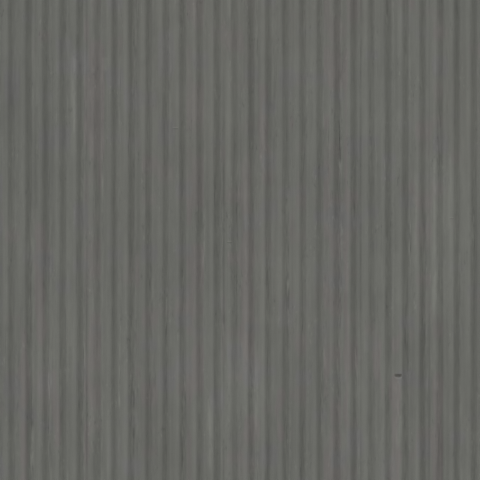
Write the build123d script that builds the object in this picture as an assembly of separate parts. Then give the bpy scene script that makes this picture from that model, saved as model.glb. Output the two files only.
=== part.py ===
from build123d import *
import math
import os

# Small-pitch corrugated sheet: one roll-formed piece of thin steel, lying flat.
# Its section is a gentle wave of arcs and straight flanks: 1-1/4 in pitch, 1/4 in deep.
# Ribs run along Y, the width is along X, +Z is up and the crests are on top.
# The origin is at the middle of the sheet, on the plane that its valleys rest on.
# All lengths are in millimetres.

# --- driving dimensions -----------------------------------------------------
PITCH = 31.75         # crest to crest
CREST_COUNT = 31      # ribs across the sheet
DEPTH = 6.35          # rise of the metal from valley to crest
THICKNESS = 0.6       # metal
CREST_FLAT = 5.2      # width of a crest between the corners of its centre line
VALLEY_FLAT = 5.2     # width of a valley between the corners of its centre line
BEND_RADIUS = 7.0     # of the waves, at the middle of the metal
LENGTH = 1828.8       # along the ribs, a stock length of 6 ft

# --- derived ----------------------------------------------------------------
WIDTH = PITCH * CREST_COUNT             # both side edges are cut at mid valley
HALF_T = THICKNESS / 2.0
FLANK_RUN = (PITCH - CREST_FLAT - VALLEY_FLAT) / 2.0
Z_LOW = HALF_T                          # centre line of a valley
Z_HIGH = HALF_T + DEPTH                 # centre line of a crest

# --- the middle line of the metal, as the corners that its arcs round off ---
corners = [(-WIDTH / 2.0, Z_LOW)]
for rib in range(CREST_COUNT):
    mid = (rib - (CREST_COUNT - 1) / 2.0) * PITCH
    corners += [
        (mid - CREST_FLAT / 2.0 - FLANK_RUN, Z_LOW),
        (mid - CREST_FLAT / 2.0, Z_HIGH),
        (mid + CREST_FLAT / 2.0, Z_HIGH),
        (mid + CREST_FLAT / 2.0 + FLANK_RUN, Z_LOW),
    ]
corners.append((WIDTH / 2.0, Z_LOW))


def direction(p, q):
    """Unit vector from p to q."""
    run, rise = q[0] - p[0], q[1] - p[1]
    size = math.hypot(run, rise)
    return run / size, rise / size


def face_line(side):
    """One face of the sheet as straight and arc edges, in order of x.

    side is +1 for the upper face and -1 for the lower one. Both faces lie half a
    thickness from the middle line, so each bend's two arcs share one centre.
    """
    edges = []
    shift = side * HALF_T
    start = (corners[0][0], corners[0][1] + shift)
    for before, here, after in zip(corners, corners[1:], corners[2:]):
        u, v = direction(before, here), direction(here, after)
        turn = math.atan2(u[0] * v[1] - u[1] * v[0], u[0] * v[0] + u[1] * v[1])
        left = math.copysign(1.0, turn)
        tangent = BEND_RADIUS * math.tan(abs(turn) / 2.0)
        # normals point to the upper side
        nu, nv = (-u[1], u[0]), (-v[1], v[0])
        arc_in = (
            here[0] - u[0] * tangent + nu[0] * shift,
            here[1] - u[1] * tangent + nu[1] * shift,
        )
        arc_out = (
            here[0] + v[0] * tangent + nv[0] * shift,
            here[1] + v[1] * tangent + nv[1] * shift,
        )
        centre = (
            here[0] - u[0] * tangent + nu[0] * left * BEND_RADIUS,
            here[1] - u[1] * tangent + nu[1] * left * BEND_RADIUS,
        )
        outward = direction(centre, here)
        radius = BEND_RADIUS - left * shift
        arc_mid = (centre[0] + outward[0] * radius, centre[1] + outward[1] * radius)
        edges.append(Line(start, arc_in))
        edges.append(ThreePointArc(arc_in, arc_mid, arc_out))
        start = arc_out
    edges.append(Line(start, (corners[-1][0], corners[-1][1] + shift)))
    return edges


# --- the section, then the sheet ---------------------------------------------
upper = face_line(+1)
lower = face_line(-1)
left_edge = Line(lower[0] @ 0, upper[0] @ 0)
right_edge = Line(upper[-1] @ 1, lower[-1] @ 1)

section = make_face([*upper, right_edge, *lower, left_edge])
sheet = extrude(Plane.XZ * section, amount=LENGTH / 2.0, both=True)
sheet.label = "corrugated_sheet"

os.makedirs("parts", exist_ok=True)
export_step(sheet, "parts/corrugated_sheet.step")

box = sheet.bounding_box()
developed = sum(edge.length for edge in upper + lower) / 2.0
print("size mm", [round(v, 3) for v in box.size], "low z", round(box.min.Z, 4))
print("developed width mm", round(developed, 1), "faces", len(sheet.faces()))
print("volume mm3", round(sheet.volume), "valid", sheet.is_valid)
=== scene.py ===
import math

import bpy
import mathutils
import numpy as np
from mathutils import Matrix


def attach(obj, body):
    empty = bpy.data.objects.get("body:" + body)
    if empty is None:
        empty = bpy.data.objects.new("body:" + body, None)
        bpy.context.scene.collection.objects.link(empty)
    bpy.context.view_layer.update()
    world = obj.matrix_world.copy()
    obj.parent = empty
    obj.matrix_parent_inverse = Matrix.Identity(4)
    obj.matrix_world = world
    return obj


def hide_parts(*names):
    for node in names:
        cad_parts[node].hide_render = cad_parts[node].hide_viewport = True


# A small-pitch corrugated steel sheet that lies flat on a pale floor.
# Metres. Ribs run along Y, the width is along X, the crests are on top.

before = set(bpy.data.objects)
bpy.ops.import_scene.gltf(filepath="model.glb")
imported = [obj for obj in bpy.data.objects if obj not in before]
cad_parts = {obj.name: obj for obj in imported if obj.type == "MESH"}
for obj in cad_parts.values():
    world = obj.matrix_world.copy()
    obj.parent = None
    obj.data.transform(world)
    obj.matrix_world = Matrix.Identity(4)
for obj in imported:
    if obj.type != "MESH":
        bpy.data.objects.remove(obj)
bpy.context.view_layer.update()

# --- the section, with the same pitch, depth and metal as the CAD part ---------
PITCH = 0.03175
RIBS = 31
DEPTH = 0.00635
THICKNESS = 0.0006
LENGTH = 1.8288
WIDTH = PITCH * RIBS
HALF_T = THICKNESS / 2
Z_LOW, Z_HIGH = HALF_T, HALF_T + DEPTH

# --- the camera: straight down, the picture's 480 px are 28 ribs wide ---------
PX = 28 * PITCH / 480
CAM_X = -0.375 * PITCH
CAM_Y = 0.0
LENS = 200.0
TOP = Z_HIGH + HALF_T


def at(px, py):
    """The point of the sheet, in metres, that shows at a pixel of the picture."""
    return CAM_X + (px - 240.0) * PX, CAM_Y - (py - 240.0) * PX


# --- shape of the metal -------------------------------------------------------
# The one dent: a short crease pressed across the left flank of a rib and onto
# its crest, with a thin raised lip on the side towards the bottom of the picture.
DENT_X, DENT_Y = at(398.2, 375.0)
DENT_CREST = round(DENT_X / PITCH) * PITCH
DENT_RIB = round(DENT_X / PITCH) + (RIBS - 1) // 2
DENT_FROM, DENT_TO = DENT_CREST - 0.0150, DENT_CREST + 0.0062


def rib_line(side, steps):
    """One rib, valley middle to valley middle, as (x, z) rows about its crest.

    The middle of the metal is a smooth wave, and each face lies half a
    thickness from it.
    """
    x = np.linspace(-PITCH / 2, PITCH / 2, steps + 1)
    turn = 2 * math.pi * x / PITCH
    z = Z_LOW + DEPTH / 2 * (1 + np.cos(turn))
    slope = -DEPTH / 2 * 2 * math.pi / PITCH * np.sin(turn)
    size = np.sqrt(1 + slope**2)
    return list(zip(x - side * HALF_T * slope / size, z + side * HALF_T / size))


def section(side):
    """(x, z, rib number) of every column of one face, in order of x."""
    out = []
    for rib in range(RIBS):
        mid = (rib - (RIBS - 1) / 2) * PITCH
        row = rib_line(side, 54 if rib == DENT_RIB else 24)
        if rib:
            row = row[1:]
        out += [(mid + x, z, rib) for x, z in row]
    return np.array(out)


upper, lower = section(1), section(-1)
COLS = len(upper)


def waves(rng, count, low, high):
    """Seeded long waves: (frequency in x, frequency in y, phase, share) rows."""
    fx = rng.uniform(low[0], high[0], count) * rng.choice([-1, 1], count)
    fy = rng.uniform(low[1], high[1], count)
    return np.stack([fx, fy, rng.uniform(0, 2 * math.pi, count), rng.uniform(0.4, 1, count)], 1)


def wave_sum(table, x, y):
    total = 0.0
    for fx, fy, phase, share in table:
        total = total + share * np.sin(2 * math.pi * (fx * x + fy * y) + phase)
    return total / len(table)


rng = np.random.default_rng(3201)
SAG = waves(rng, 7, (0.3, 0.4), (1.6, 1.8))
DRIFT = waves(rng, 6, (9.0, 0.3), (31.0, 1.9))

# Rolled sheet is never quite even, and the rolls leave the same unevenness every
# eight ribs. Rib and valley k of the picture, counted from 0 at its left edge, are
# rib k + 1 and the valley right of it. Heights and sideways shifts in metres.
ROLL_LIFT = (0.00060, 0.00042, 0.00036, 0.00010, 0.0, 0.00085, 0.00028, 0.00004)
ROLL_RISE = (-0.00008, -0.00004, 0.0, 0.00004, 0.00022, 0.0, 0.0, 0.00014)
picture_rib = np.arange(RIBS + 1) - 2
valley_lift = np.array([ROLL_LIFT[k % 8] for k in picture_rib])
valley_lift = valley_lift * rng.uniform(0.8, 1.2, RIBS + 1)
valley_shift = rng.normal(-0.00016, 0.00016, RIBS + 1)
crest_rise = np.array([ROLL_RISE[k % 8] for k in np.arange(RIBS) - 1])
crest_rise = crest_rise + rng.uniform(-0.00005, 0.00005, RIBS)
crest_shift = rng.normal(0.0, 0.00010, RIBS)
# four ribs sit a little to the right: the rib, its shift, its valley's shift and lift
for k, over, along, lift in (
    (5, 0.00045, 0.00110, 0.00060), (13, 0.00045, 0.00105, 0.00105),
    (21, 0.00020, 0.00050, 0.00115), (25, 0.00060, 0.00150, 0.00050),
):
    crest_shift[k + 1], valley_shift[k + 2], valley_lift[k + 2] = over, along, lift
for k, lift in ((1, 0.0), (3, 0.0), (10, 0.0006), (23, 0.00035), (24, 0.0), (26, 0.0), (27, 0.0006)):
    valley_lift[k + 2] = lift
crest_rise[24 + 1] = 0.00024


def dent(x, y):
    """How far a point is inside the dent: its depth, the painted shade with grime in its hollow, and the raised
    lip, which also takes a painted highlight.
    """
    u = (x - DENT_X) / 0.0074
    reach = np.clip(1.10 - np.abs(u) ** 3, 0, 1) ** 0.8
    # its upper edge is straight and steep, its lower side slopes up to a curved edge
    v = y - DENT_Y + 0.0008
    low = 0.0029 * np.sqrt(np.clip(1.05 - u**2, 0.02, 1))
    wall = np.exp(-((v / 0.0024) ** 4))
    deep = np.where(v > 0, wall, np.exp(-(np.abs(v / (1.15 * low)) ** 2.2)))
    painted_shade = np.where(v > 0, wall, np.exp(-((v / low) ** 4)))
    lip = np.exp(-(((v + low + 0.0024) / 0.0016) ** 2))
    return deep * reach, painted_shade * reach, lip * reach


def moved(x, y, z, side):
    """Where a point of the even section lies, as (x, z), on the real uneven sheet."""
    high = np.clip((z - side * HALF_T - Z_LOW) / DEPTH, 0, 1)
    place = x / PITCH + (RIBS - 1) / 2
    valley = np.clip(np.floor(place) + 1, 0, RIBS).astype(int)
    rib = np.clip(np.round(place), 0, RIBS - 1).astype(int)
    drift = 1 + 0.30 * wave_sum(DRIFT, x, y)
    dz = valley_lift[valley] * drift * (1 - high) + crest_rise[rib] * drift * high
    dx = valley_shift[valley] * drift * (1 - high) + crest_shift[rib] * high
    # the sheet as a whole lies a little unevenly and its free edges lift a touch
    dz = dz + 0.00022 * (1 + wave_sum(SAG, x, y))
    # the dent
    deep, _, lip = dent(x, y)
    deep = -0.0024 * deep * (0.30 + 0.70 * high)
    return x + dx, z + dz + deep + 0.00045 * lip


# Rows along the length, evenly spread. The dent's own stretch is finer, on its
# rib only, and the faces beside it take the extra corners along their edges.
ROWS = 58
ys = np.linspace(-LENGTH / 2, LENGTH / 2, ROWS)
step = ys[1] - ys[0]
near = int(np.argmin(np.abs(ys - (DENT_Y - step / 2))))
ys[near], ys[near + 1] = DENT_Y - 0.015, DENT_Y + 0.013
fine = np.unique(
    np.concatenate(
        [
            np.linspace(ys[near], DENT_Y - 0.0085, 5),
            np.linspace(DENT_Y - 0.0085, DENT_Y + 0.0050, 28),
            np.linspace(DENT_Y + 0.0050, ys[near + 1], 5),
        ]
    )
)[1:-1]

verts, faces, uvs = [], [], []


def arc_length(line):
    d = np.hypot(np.diff(line[:, 0]), np.diff(line[:, 1]))
    s = np.concatenate([[0], np.cumsum(d)])
    return s / s[-1]


# Where each part of the sheet lies on its texture: the upper face has most of it.
MARGIN = 0.004
V_TOP = (0.275, 0.996)
V_UNDER = (0.030, 0.262)


def across_u(s):
    return MARGIN + s * (1 - 2 * MARGIN)


def along_v(band, y):
    return band[0] + (y / LENGTH + 0.5) * (band[1] - band[0])


def add_face_grid(line, side, band, flip):
    """One face of the sheet. Returns the vertex number of each grid point."""
    s = arc_length(line)
    base = len(verts)
    number = base + np.arange(ROWS * COLS).reshape(ROWS, COLS)
    for y in ys:
        x, z = moved(line[:, 0], np.full(COLS, y), line[:, 1], side)
        verts.extend(zip(x.tolist(), [float(y)] * COLS, z.tolist()))
    uv_of = {}
    for r, y in enumerate(ys):
        v = along_v(band, y)
        for c in range(COLS):
            uv_of[int(number[r, c])] = (across_u(s[c]), v)
    # the columns that the dent's finer stretch covers
    covered = np.flatnonzero((line[:, 0] >= DENT_FROM) & (line[:, 0] <= DENT_TO))
    first, last = int(covered[0]), int(covered[-1])
    inner = {}
    for k, y in enumerate(fine):
        cols = np.arange(first, last + 1)
        x, z = moved(line[cols, 0], np.full(len(cols), y), line[cols, 1], side)
        # the outermost two columns stay on the straight edge between their rows
        share = (y - ys[near]) / (ys[near + 1] - ys[near])
        for c, xx, zz in zip(cols, x, z):
            if c in (first, last):
                a, b = verts[number[near, c]], verts[number[near + 1, c]]
                xx, zz = a[0] + share * (b[0] - a[0]), a[2] + share * (b[2] - a[2])
            inner[k, int(c)] = len(verts)
            uv_of[len(verts)] = (across_u(s[c]), along_v(band, y))
            verts.append((float(xx), float(y), float(zz)))

    def put(loop):
        loop = [int(i) for i in loop]
        if flip:
            loop.reverse()
        faces.append(loop)
        uvs.append([uv_of[i] for i in loop])

    count = len(fine)
    for r in range(ROWS - 1):
        for c in range(COLS - 1):
            a, b = number[r, c], number[r, c + 1]
            d, e = number[r + 1, c], number[r + 1, c + 1]
            if r == near and first <= c < last:
                for k in range(count + 1):
                    lo_l = a if k == 0 else inner[k - 1, c]
                    lo_r = b if k == 0 else inner[k - 1, c + 1]
                    hi_l = d if k == count else inner[k, c]
                    hi_r = e if k == count else inner[k, c + 1]
                    put([lo_l, lo_r, hi_r, hi_l])
            elif r == near and c == first - 1:
                put([a, b] + [inner[k, first] for k in range(count)] + [e, d])
            elif r == near and c == last:
                put([a, b, e, d] + [inner[k, last] for k in reversed(range(count))])
            else:
                put([a, b, e, d])
    return number


top = add_face_grid(upper, 1, V_TOP, False)
under = add_face_grid(lower, -1, V_UNDER, True)

# The cut metal: two ends and two side edges, each a strip one thickness high.
s_top = arc_length(upper)
wide_faces = len(faces)


def strip(loop_a, loop_b, share, v_low, v_high, flip):
    """A strip between two equal rows of vertices."""
    for k in range(len(loop_a) - 1):
        loop = [loop_a[k], loop_a[k + 1], loop_b[k + 1], loop_b[k]]
        uv = [
            (across_u(share[k]), v_low),
            (across_u(share[k + 1]), v_low),
            (across_u(share[k + 1]), v_high),
            (across_u(share[k]), v_high),
        ]
        if flip:
            loop.reverse()
            uv.reverse()
        faces.append([int(i) for i in loop])
        uvs.append(uv)


share_y = (ys + LENGTH / 2) / LENGTH
strip(under[0], top[0], s_top, 0.002, 0.006, False)
strip(under[-1], top[-1], s_top, 0.009, 0.013, True)
strip(under[:, 0], top[:, 0], share_y, 0.016, 0.019, True)
strip(under[:, -1], top[:, -1], share_y, 0.022, 0.025, False)

mesh = bpy.data.meshes.new("sheet_metal")
mesh.from_pydata(verts, [], faces)
layer = mesh.uv_layers.new(name="OFBake")
flat = np.array([c for face in uvs for c in face], dtype=np.float32)
layer.data.foreach_set("uv", flat.ravel())
mesh.polygons.foreach_set("use_smooth", np.ones(len(mesh.polygons), dtype=bool))
mesh.set_sharp_from_angle(angle=math.radians(50))
mesh.validate()
mesh.update()

sheet = bpy.data.objects.new("sheet_metal", mesh)
bpy.context.scene.collection.objects.link(sheet)
weighted = sheet.modifiers.new("flat_faces_stay_flat", "WEIGHTED_NORMAL")
weighted.weight = 100
weighted.keep_sharp = True

# --- painted on by vertex: the tone of each rib, the dent's painted shade and grime, its lip's painted highlight, and the faces --
points = np.array(verts)
xs, yv = points[:, 0], points[:, 1]
count_top = int(under[0, 0])

rib_tone = rng.uniform(-0.65, 0.65, RIBS)
for rib, value in (
    (2, 1.2), (4, 0.8), (5, 1.7), (7, 0.5), (12, 0.7), (13, 1.2), (21, 1.1), (23, 1.9), (27, 0.9),
    (1, -2.0), (8, -1.9), (15, -0.7), (16, -2.2), (17, -1.6), (19, -1.2), (24, -1.5), (25, -0.7),
):
    rib_tone[rib + 1] = value
rib_of = np.clip(np.round(xs / PITCH + (RIBS - 1) / 2), 0, RIBS - 1).astype(int)
tone = rib_tone[rib_of] * (0.7 + 0.5 * wave_sum(DRIFT, xs * 0.3, yv)) + xs * 1.0 - yv * 1.15

# the dent's painted shade with grime, and its lip's painted highlight with rubbing
_, pressed, lip_highlight_and_rub = dent(xs, yv)

# some ribs are a little pinker than the others, from end to end
hue = np.random.default_rng(77).uniform(-1.5, -0.1, RIBS)
for rib, value in ((5, 0.9), (11, 0.9), (14, 0.0), (19, 0.9), (1, -0.8), (2, -0.4), (20, 0.0), (25, -0.3)):
    hue[rib + 1] = value
hue = hue[rib_of]

# how dark the roll line at the foot of each rib's left flank is
foot = rng.uniform(-0.3, 0.35, RIBS)
for k, value in ((5, 1.2), (13, 1.3), (21, 1.3), (25, 1.0)):
    foot[k + 1] = value
foot = np.clip(foot, 0.0, None)[rib_of]

# 1 on the upper face, 0 on the underside
upper_face = np.zeros(len(points))
upper_face[:count_top] = 1.0

for name, values in (
    ("tone", tone), ("hue", hue), ("foot", foot), ("pressed", pressed),
    ("lip_highlight_and_rub", lip_highlight_and_rub), ("upper_face", upper_face),
):
    attr = mesh.attributes.new(name, "FLOAT", "POINT")
    attr.data.foreach_set("value", values.astype(np.float32))

# 1 on the sheared ends and sides
cut = np.zeros(len(mesh.polygons), dtype=np.float32)
cut[wide_faces:] = 1.0
mesh.attributes.new("cut", "FLOAT", "FACE").data.foreach_set("value", cut)


# --- materials ------------------------------------------------------------------
class Nodes:
    """A short way to write node trees."""

    def __init__(self, name):
        self.mat = bpy.data.materials.new(name)
        self.mat.use_nodes = True
        self.tree = self.mat.node_tree
        self.tree.nodes.clear()
        self.out = self.tree.nodes.new("ShaderNodeOutputMaterial")
        self.bsdf = self.tree.nodes.new("ShaderNodeBsdfPrincipled")
        self.link(self.bsdf.outputs[0], self.out.inputs[0])
        self.coord = self.tree.nodes.new("ShaderNodeTexCoord").outputs["Object"]

    def link(self, a, b):
        self.tree.links.new(a, b)

    def put(self, socket, value):
        if isinstance(value, bpy.types.NodeSocket):
            self.link(value, socket)
        else:
            socket.default_value = value

    def math(self, op, a, b=0.0, c=0.0, clamp=False):
        n = self.tree.nodes.new("ShaderNodeMath")
        n.operation = op
        n.use_clamp = clamp
        self.put(n.inputs[0], a)
        self.put(n.inputs[1], b)
        self.put(n.inputs[2], c)
        return n.outputs[0]

    def scaled(self, x, y, z, offset=(0.0, 0.0, 0.0)):
        n = self.tree.nodes.new("ShaderNodeMapping")
        n.vector_type = "POINT"
        self.link(self.coord, n.inputs["Vector"])
        n.inputs["Scale"].default_value = (x, y, z)
        n.inputs["Location"].default_value = offset
        return n.outputs[0]

    def noise(self, vector, scale=1.0, detail=2.0, rough=0.5, lac=2.0, kind="FBM"):
        n = self.tree.nodes.new("ShaderNodeTexNoise")
        n.noise_type = kind
        self.link(vector, n.inputs["Vector"])
        n.inputs["Scale"].default_value = scale
        n.inputs["Detail"].default_value = detail
        n.inputs["Roughness"].default_value = rough
        n.inputs["Lacunarity"].default_value = lac
        return n.outputs[0]

    def around(self, value, gain):
        """Noise moved to lie about zero, times gain."""
        return self.math("MULTIPLY", self.math("SUBTRACT", value, 0.5), gain)

    def ramp(self, value, stops):
        n = self.tree.nodes.new("ShaderNodeMapRange")
        n.interpolation_type = "SMOOTHSTEP"
        self.link(value, n.inputs["Value"])
        n.inputs["From Min"].default_value = stops[0]
        n.inputs["From Max"].default_value = stops[1]
        n.inputs["To Min"].default_value = stops[2]
        n.inputs["To Max"].default_value = stops[3]
        return n.outputs["Result"]

    def attribute(self, name):
        n = self.tree.nodes.new("ShaderNodeAttribute")
        n.attribute_type = "GEOMETRY"
        n.attribute_name = name
        return n.outputs["Fac"]

    def joined(self, x, y, z):
        n = self.tree.nodes.new("ShaderNodeCombineXYZ")
        self.put(n.inputs[0], x)
        self.put(n.inputs[1], y)
        self.put(n.inputs[2], z)
        return n.outputs[0]

    def split(self, vector):
        n = self.tree.nodes.new("ShaderNodeSeparateXYZ")
        self.link(vector, n.inputs[0])
        return n.outputs

    def mix(self, factor, a, b, blend="MIX"):
        n = self.tree.nodes.new("ShaderNodeMix")
        n.data_type = "RGBA"
        n.blend_type = blend
        self.put(n.inputs["Factor"], factor)
        self.put(n.inputs["A"], a)
        self.put(n.inputs["B"], b)
        return n.outputs["Result"]

    def times(self, color, value):
        """A colour times one number."""
        n = self.tree.nodes.new("ShaderNodeVectorMath")
        n.operation = "SCALE"
        self.put(n.inputs[0], color)
        self.put(n.inputs["Scale"], value)
        return n.outputs[0]


# Rubbed bright stretches, dull ones and broad paler patches, each along a rib:
# the pixel across, the pixels from and to down the picture, half its width, gain.
MARKS = (
    (73.5, 50, 158, 3.4, 0.19),
    (94, 25, 125, 2.8, 0.08),
    (105, 57, 71, 3.2, 0.15),
    (209.5, 392, 470, 3.0, 0.17),
    (229, -30, 20, 2.6, 0.16),
    (256, 365, 437, 3.5, 0.10),
    (347, 245, 383, 2.4, 0.06),
    (380, 251, 292, 4.5, 0.06),
    (396, 250, 306, 3.6, 0.09),
    (397, 380, 447, 3.6, 0.12),
    (415, 170, 268, 3.2, 0.13),
    (435, 155, 316, 3.2, 0.13),
    (450, 155, 230, 3.2, 0.09),
    (202, 227, 291, 3.0, 0.10),
    (344, 431, 500, 2.2, 0.09),
    (86.5, 274, 520, 2.0, -0.11),
    (223.5, 94, 357, 2.0, -0.12),
    (360, 18, 333, 2.0, -0.11),
    (429, 388, 500, 2.2, -0.09),
    (35, 132, 211, 4.0, -0.10),
    (422, 280, 388, 3.2, -0.09),
    (375, 294, 325, 3.4, -0.09),
    (399, 51, 114, 4.0, -0.08),
    (179, -40, 88, 4.0, -0.08),
    (47, 140, 280, 12.0, -0.06),
    (375, 300, 520, 45.0, 0.05),
    (438, 150, 330, 30.0, 0.05),
    (480, 140, 620, 14.0, -0.05),
    (386.5, 236, 290, 2.8, 0.12),
    (436, 338, 392, 2.6, 0.10),
    (375.5, 440, 540, 2.4, -0.10),
    (340, 55, 352, 2.2, -0.08),
    (34, 50, 108, 4.5, 0.09),
    (7, 235, 285, 3.2, -0.08),
    (427, 250, 292, 2.4, -0.09),
    (70, 300, 348, 2.6, 0.08),
    (94, 440, 540, 3.2, -0.09),
    (143, 58, 106, 2.8, -0.08),
    (389, 345, 480, 3.0, 0.09),
    (402, 325, 440, 2.6, 0.08),
    (91, 130, 200, 3.4, 0.11),
    (157, 24, 110, 5.0, -0.09),
    (346, 290, 350, 2.6, -0.10),
    (293, 215, 300, 3.4, -0.07),
    (238, 340, 520, 35.0, 0.05),
    (100, 0, 110, 30.0, 0.03),
    # long ones that run out of the picture at both ends
    (257.5, -120, 600, 3.0, 0.06),
    (271, -120, 600, 3.4, 0.06),
    (69, -120, 600, 3.2, 0.045),
    (478, -120, 600, 2.8, -0.05),
    (220.5, -120, 600, 3.0, -0.04),
    (408, -120, 600, 1.6, -0.06),
    (42, -120, 600, 2.0, -0.06),
    (26.5, -120, 600, 2.6, -0.045),
    (439, -120, 600, 1.8, 0.05),
    (286, -120, 600, 2.0, 0.045),
    (6, -120, 600, 3.4, -0.04),
    (120, -120, 600, 3.2, 0.038),
)


# Stretches with a warmer, pinker grey, in the same terms.
WARM = (
    (24, 312, 540, 6.5, 0.34),
    (40, 222, 350, 6.5, 0.32),
    (57, 368, 452, 6.5, 0.30),
    (102, 35, 200, 3.6, 0.25),
    (247, 150, 370, 7.0, 0.28),
    (264, 80, 165, 7.0, 0.32),
    (280, 385, 445, 6.5, 0.30),
    (346, 40, 440, 3.0, 0.18),
    (378, 335, 430, 6.5, 0.30),
    (395, 325, 540, 7.5, 0.32),
    (438, 362, 540, 6.5, 0.28),
)

# small nicks shown only by painted highlight and shadow: the pixel across, the pixel down, half the width
NICKS = ((229.5, 241.9, 3.2), (175.5, 128.0, 4.0), (451.5, 218.0, 2.6))


def steel():
    m = Nodes("weathered_steel")
    x, y, z = m.split(m.coord)
    upper_side = m.attribute("upper_face")
    # place across a corrugation: crest middle at 0.375, valley middle at 0.875
    across = m.math("FRACT", m.math("MULTIPLY_ADD", x, 1 / PITCH, 0.375 + 20.0))

    def band(middle, full, gone, height=1.0):
        """A stretch across every corrugation, full near its middle, then fading."""
        off = m.math("PINGPONG", m.math("ADD", across, 1.0 - middle), 0.5)
        return m.ramp(off, (full, gone, height, 0.0))

    def columns(per_metre, along, start, detail=1.0, rough=0.6, soft=(0.0, 1.0)):
        """Straight bands along the ribs, each with a tone of its own that drifts."""
        place = m.math("MULTIPLY_ADD", x, per_metre, 500.0 + start)
        number = m.math("FLOOR", place)
        far = m.math("MULTIPLY_ADD", y, along, start * 3.7)
        side = m.math("MULTIPLY_ADD", upper_side, 4.3, start)
        pair = []
        for step in (0.0, 1.0):
            key = m.math("MULTIPLY", m.math("ADD", number, step), 7.31)
            pair.append(m.noise(m.joined(key, far, side), detail=detail, rough=rough))
        share = m.ramp(m.math("SUBTRACT", place, number), (soft[0], soft[1], 0.0, 1.0))
        gap = m.math("SUBTRACT", pair[1], pair[0])
        return m.math("MULTIPLY_ADD", gap, share, pair[0])

    def stretch(px, y0, y1, half):
        """One stretch along a rib: 1 at its middle, fading to its sides and ends."""
        mid_x, top_y = at(px, y0)
        low_y = at(px, y1)[1]
        off_x = m.math("ABSOLUTE", m.math("SUBTRACT", x, mid_x))
        off_y = m.math("ABSOLUTE", m.math("SUBTRACT", y, (top_y + low_y) / 2))
        run = (top_y - low_y) / 2
        fade_x = m.ramp(off_x, (half * PX * 0.1, half * PX * 1.3, 1.0, 0.0))
        fade_y = m.ramp(off_y, (run * 0.75, run * 1.1, 1.0, 0.0))
        return m.math("MULTIPLY", fade_x, fade_y)

    # rolling lines that run on and on, straight streaks of four widths, the
    # rib's own tone, which changes in the shade between two ribs, and broad patches
    lines = m.noise(m.scaled(210, 1.6, 20, (0.7, 4.1, 1.4)), detail=1.0, rough=0.6)
    thin = columns(330.0, 22.0, 0.31, detail=2.0, rough=0.6, soft=(0.2, 0.8))
    crisp = columns(480.0, 26.0, 6.13, detail=2.0, rough=0.6, soft=(0.2, 0.8))
    streak = columns(120.0, 10.0, 0.77, soft=(0.35, 0.65))
    cloud = columns(1 / PITCH, 3.2, 0.675, detail=2.5, rough=0.62, soft=(0.42, 0.58))
    hair = columns(1300.0, 9.0, 0.93, detail=2.0, rough=0.7)
    grain = m.noise(m.scaled(1500, 1000, 900), detail=2.0, rough=0.7)
    patch = m.noise(m.scaled(8, 4, 10, (7.7, 2.2, 5.1)), detail=1.0, rough=0.5)
    broad = m.noise(m.scaled(3.0, 2.2, 3, (3.6, 7.4, 0.9)), detail=0.0)
    # the lit side of each crest is the calmest part of the surface
    stir = m.math("SUBTRACT", 1.16, band(0.17, 0.16, 0.29, 0.60))
    shade = m.math("MULTIPLY_ADD", m.around(lines, 0.17), stir, 1.0)
    # the thin streaks are clearest on the shaded flank and in the valley
    on_shade = band(0.76, 0.18, 0.34)
    thin_gain = m.math("MULTIPLY_ADD", on_shade, 0.20, 0.12)
    shade = m.math("ADD", shade, m.math("MULTIPLY", m.around(thin, 1.0), thin_gain))
    # the finest ones are strong in a few narrow stretches, faint in most others
    busy = columns(230.0, 3.0, 5.17, detail=3.0, rough=0.65)
    busy = m.math("MINIMUM", m.math("POWER", m.math("MULTIPLY", busy, 2.0), 5.6), 7.0)
    crisp_gain = m.math("MULTIPLY", m.math("MULTIPLY_ADD", on_shade, 0.21, 0.12), busy)
    shade = m.math("ADD", shade, m.math("MULTIPLY", m.around(crisp, 1.0), crisp_gain))
    shade = m.math("MULTIPLY_ADD", m.around(streak, 0.11), stir, shade)
    # the tone of a rib changes most on its crest
    cloud_gain = m.math("ADD", band(0.34, 0.18, 0.38, 0.26), 0.18)
    shade = m.math("ADD", shade, m.math("MULTIPLY", m.around(cloud, 1.0), cloud_gain))
    shade = m.math("ADD", shade, m.around(patch, 0.12))
    # faint mottling that runs across several ribs
    mottle = m.noise(m.scaled(7, 22, 10, (5.2, 0.9, 8.4)), detail=1.0, rough=0.5)
    shade = m.math("ADD", shade, m.around(mottle, 0.09))
    # and shorter ones that stay on one crest
    blotch = columns(1 / PITCH, 24.0, 4.675, detail=2.0, soft=(0.40, 0.60))
    shade = m.math("ADD", shade, m.math("MULTIPLY", m.around(blotch, 1.0), band(0.25, 0.20, 0.34, 0.12)))
    shade = m.math("ADD", shade, m.around(broad, 0.08))
    # in broad patches the crests are painted lighter and the valleys darker, and elsewhere the other way:
    # painted light and shade that makes the wave's contrast vary
    wave_contrast = m.noise(m.scaled(9, 4, 10, (3.3, 5.8, 2.9)), detail=1.0, rough=0.5)
    painted_contrast_gain = m.math("SUBTRACT", band(0.34, 0.10, 0.34, 0.38), 0.19)
    shade = m.math("ADD", shade, m.math("MULTIPLY", m.around(wave_contrast, 1.0), painted_contrast_gain))
    # hair lines and grain too fine to see from afar
    shade = m.math("ADD", shade, m.around(hair, 0.22))
    shade = m.math("ADD", shade, m.around(grain, 0.24))
    shade = m.math("MULTIPLY_ADD", m.attribute("tone"), 0.022, shade)
    # what only the upper face has: its weathering, and the painted light and shade added further down
    extra = m.math("MULTIPLY", m.attribute("foot"), band(0.055, 0.0, 0.075))
    extra = m.math("MULTIPLY", extra, m.ramp(streak, (0.35, 0.60, -0.02, -0.13)))
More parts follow.
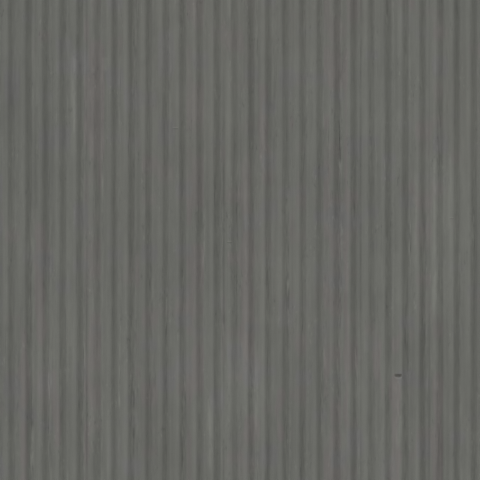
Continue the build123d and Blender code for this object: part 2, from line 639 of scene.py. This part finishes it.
    # short flecks: bright ones and dark ones, in some stretches only
    fleck = m.noise(m.scaled(330, 85, 90, (2.4, 8.1, 3.9)), detail=1.0, rough=0.5)
    where = m.noise(m.scaled(50, 14, 30, (9.3, 3.3, 6.2)), detail=1.0, rough=0.5)
    where = m.ramp(where, (0.50, 0.68, 0.0, 1.0))
    light_fleck = m.ramp(fleck, (0.60, 0.76, 0.0, 0.20))
    dark_fleck = m.ramp(fleck, (0.24, 0.40, 0.20, 0.0))
    flecks = m.math("MULTIPLY", m.math("SUBTRACT", light_fleck, dark_fleck), where)
    extra = m.math("ADD", extra, flecks)
    # the worn and the dull marks, broken up by the thin streaks
    ragged = m.ramp(thin, (0.36, 0.60, 0.55, 1.25))
    for px, y0, y1, half, gain in MARKS:
        mark = m.math("MULTIPLY", stretch(px, y0, y1, half), gain)
        extra = m.math("MULTIPLY_ADD", mark, ragged, extra)
    # towards the ends of the sheet the same wear lies where it falls
    ends = m.ramp(m.math("ABSOLUTE", y), (0.43, 0.50, 0.0, 1.0))
    worn = columns(170.0, 8.0, 1.45, soft=(0.2, 0.8))
    worn = m.math("ADD", m.ramp(worn, (0.66, 0.74, 0.0, 0.15)), m.ramp(worn, (0.25, 0.33, -0.11, 0.0)))
    extra = m.math("MULTIPLY_ADD", m.math("MULTIPLY", worn, ends), ragged, extra)
    # the three small cross-wise nicks, each shown only by a painted highlight on its upper side and a painted
    # shadow on its lower side
    for px, py, half in NICKS:
        mid_x, mid_y = at(px, py)
        off_x = m.math("ABSOLUTE", m.math("SUBTRACT", x, mid_x))
        off_x = m.ramp(off_x, (half * PX * 0.4, half * PX, 1.0, 0.0))
        off_y = m.math("SUBTRACT", y, mid_y)
        painted_nick_highlight = m.math("ABSOLUTE", m.math("SUBTRACT", off_y, 0.5 * PX))
        painted_nick_highlight = m.ramp(painted_nick_highlight, (0.0, 0.9 * PX, 0.24, 0.0))
        painted_nick_shadow = m.math("ABSOLUTE", m.math("ADD", off_y, 0.6 * PX))
        painted_nick_shadow = m.ramp(painted_nick_shadow, (0.0, 0.9 * PX, 0.24, 0.0))
        extra = m.math("MULTIPLY_ADD", off_x, m.math("SUBTRACT", painted_nick_highlight, painted_nick_shadow), extra)
    # painted shade in the valleys, against the shaded flank, a little deeper in some patches than in others
    painted_shade = m.math("MULTIPLY", band(0.825, 0.03, 0.07), m.ramp(patch, (0.35, 0.65, -0.05, -0.065)))
    extra = m.math("ADD", extra, painted_shade)
    # painted light and shade across every corrugation: painted light on the shaded flank's foot and on the
    # valley's lit side, a faint painted highlight on the lit flank, and painted shade where the crest turns down
    # to the shaded flank
    extra = m.math("ADD", extra, m.math("ADD", band(0.70, 0.02, 0.10, 0.030), band(0.95, 0.05, 0.11, 0.027)))
    extra = m.math("ADD", extra, m.math("ADD", band(0.085, 0.02, 0.07, 0.010), band(0.485, 0.03, 0.07, -0.018)))
    # the dent's lip is painted bright: a painted highlight where it faces the light, with some rubbing
    extra = m.math("MULTIPLY_ADD", m.attribute("lip_highlight_and_rub"), 0.30, extra)
    shade = m.math("MULTIPLY_ADD", extra, upper_side, shade)
    # a painted highlight on the lit side of the crests; in the roughness further down the same mask is real
    # rubbing that leaves them smoother
    rub_and_painted_highlight = m.math("MULTIPLY", band(0.36, 0.03, 0.12), m.ramp(lines, (0.40, 0.62, 0.0, 0.018)))
    shade = m.math("ADD", shade, rub_and_painted_highlight)
    # the dent's hollow is darkened with painted shade, and holds grime, clotted and a little rusty
    clots = m.noise(m.scaled(700, 900, 600, (1.3, 0.2, 0.8)), detail=2.0, rough=0.6)
    pressed = m.attribute("pressed")
    dent_shade_and_dirt = m.math("MULTIPLY", pressed, m.math("ADD", 0.47, m.around(clots, 0.5)))
    shade = m.math("MULTIPLY", shade, m.math("SUBTRACT", 1.0, dent_shade_and_dirt))
    # the sheared edges are barer and brighter, with fine marks across their thickness
    cut = m.attribute("cut")
    shear = m.noise(m.scaled(900, 900, 40), detail=2.0, rough=0.6)
    bare = m.math("ADD", 1.45, m.around(shear, 1.0))
    shade = m.math("ADD", m.math("MULTIPLY", shade, m.math("SUBTRACT", 1.0, cut)), m.math("MULTIPLY", bare, cut))
    # a faintly green grey with small pinker and bluer patches
    pink = columns(1 / PITCH, 14.0, 0.61, soft=(0.30, 0.60))
    pink = m.math("MULTIPLY_ADD", m.attribute("hue"), 0.11, pink)
    for px, y0, y1, half, gain in WARM:
        pink = m.math("MULTIPLY_ADD", stretch(px, y0, y1, half), gain, pink)
    blue = columns(1 / PITCH, 14.0, 2.70, soft=(0.35, 0.70))
    warm = m.noise(m.scaled(4, 3, 3, (6.4, 1.1, 0.3)), detail=1.0, rough=0.5)
    grey = m.mix(
        m.ramp(pink, (0.49, 0.67, 0.0, 1.0)), (0.1258, 0.1289, 0.1140, 1.0), (0.1345, 0.1265, 0.1180, 1.0)
    )
    grey = m.mix(m.ramp(blue, (0.55, 0.68, 0.0, 1.0)), grey, (0.1273, 0.1268, 0.1218, 1.0))
    grey = m.mix(m.ramp(warm, (0.40, 0.62, 0.0, 0.3)), grey, (0.1298, 0.1280, 0.1130, 1.0))
    rusty = m.math("MULTIPLY", pressed, m.ramp(clots, (0.35, 0.60, 0.3, 1.0)))
    grey = m.mix(rusty, grey, (0.1325, 0.1270, 0.1090, 1.0))
    m.link(m.times(grey, shade), m.bsdf.inputs["Base Color"])
    m.bsdf.inputs["Metallic"].default_value = 0.15
    m.bsdf.inputs["Specular IOR Level"].default_value = 0.4
    rough = m.math("ADD", 0.42, m.around(lines, 0.20))
    rough = m.math("ADD", rough, m.around(thin, 0.22))
    rough = m.math("ADD", rough, m.around(hair, 0.18))
    rough = m.math("SUBTRACT", rough, m.math("MULTIPLY", rub_and_painted_highlight, 4.0))
    rough = m.math("MULTIPLY_ADD", pressed, 0.25, rough, clamp=True)
    m.link(rough, m.bsdf.inputs["Roughness"])
    height = m.math("ADD", m.math("MULTIPLY", thin, 0.5), m.math("MULTIPLY", grain, 0.4))
    height = m.math("MULTIPLY_ADD", hair, 0.4, height)
    bump = m.tree.nodes.new("ShaderNodeBump")
    bump.inputs["Strength"].default_value = 0.3
    bump.inputs["Distance"].default_value = 0.00006
    m.link(height, bump.inputs["Height"])
    m.link(bump.outputs[0], m.bsdf.inputs["Normal"])
    return m.mat


sheet.data.materials.append(steel())

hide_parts("corrugated_sheet")
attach(sheet, "root")

# --- the floor -------------------------------------------------------------------
floor_mesh = bpy.data.meshes.new("floor")
F = 60.0
floor_mesh.from_pydata([(-F, -F, 0), (F, -F, 0), (F, F, 0), (-F, F, 0)], [], [(0, 1, 2, 3)])
floor = bpy.data.objects.new("floor", floor_mesh)
floor.location = (0, 0, -0.0002)
bpy.context.scene.collection.objects.link(floor)
fm = Nodes("pale_floor")
cloud = fm.noise(fm.scaled(1.3, 1.3, 1.0), detail=3.0)
grainy = fm.noise(fm.scaled(90, 90, 1.0), detail=2.0)
tint = fm.math("ADD", 1.0, fm.math("ADD", fm.around(cloud, 0.04), fm.around(grainy, 0.02)))
fm.link(fm.times((0.78, 0.775, 0.76), tint), fm.bsdf.inputs["Base Color"])
fm.bsdf.inputs["Roughness"].default_value = 0.8
floor_mesh.materials.append(fm.mat)

# --- light -----------------------------------------------------------------------
world = bpy.data.worlds.new("studio")
bpy.context.scene.world = world
world.use_nodes = True
background = world.node_tree.nodes["Background"]
background.inputs["Color"].default_value = (1.0, 1.0, 1.0, 1.0)
# the studio's wall is as pale as the floor where they meet, and dimmer higher up
direction = world.node_tree.nodes.new("ShaderNodeTexCoord").outputs["Generated"]
height_of = world.node_tree.nodes.new("ShaderNodeSeparateXYZ")
world.node_tree.links.new(direction, height_of.inputs[0])
fade = world.node_tree.nodes.new("ShaderNodeMapRange")
fade.interpolation_type = "SMOOTHSTEP"
fade.inputs["From Min"].default_value = 0.0
fade.inputs["From Max"].default_value = 0.25
fade.inputs["To Min"].default_value = 0.775
fade.inputs["To Max"].default_value = 0.60
world.node_tree.links.new(height_of.outputs[2], fade.inputs["Value"])
world.node_tree.links.new(fade.outputs["Result"], background.inputs["Strength"])

# one very broad key, like a large softbox, from the picture's left and top
key = bpy.data.lights.new("key", "SUN")
key.energy = 1.35
key.angle = math.radians(150)
key_object = bpy.data.objects.new("key", key)
key_object.rotation_euler = mathutils.Vector((-0.75, 0.20, 1.0)).to_track_quat("Z", "Y").to_euler()
key_object.location = (-2, 1, 3)
bpy.context.scene.collection.objects.link(key_object)

# --- camera ----------------------------------------------------------------------
camera = bpy.data.cameras.new("camera")
camera.type = "PERSP"
camera.sensor_width = 36.0
camera.lens = LENS
camera_object = bpy.data.objects.new("camera", camera)
distance = 480 * PX * LENS / 36.0
camera_object.location = (CAM_X, CAM_Y, TOP + distance)
camera_object.rotation_euler = (0.0, 0.0, 0.0)
camera.clip_start = 0.05
camera.clip_end = 200.0
bpy.context.scene.collection.objects.link(camera_object)
bpy.context.scene.camera = camera_object

view_settings = bpy.context.scene.view_settings
view_settings.view_transform = "Standard"
view_settings.look = "None"
view_settings.exposure = 0.0
view_settings.gamma = 1.0
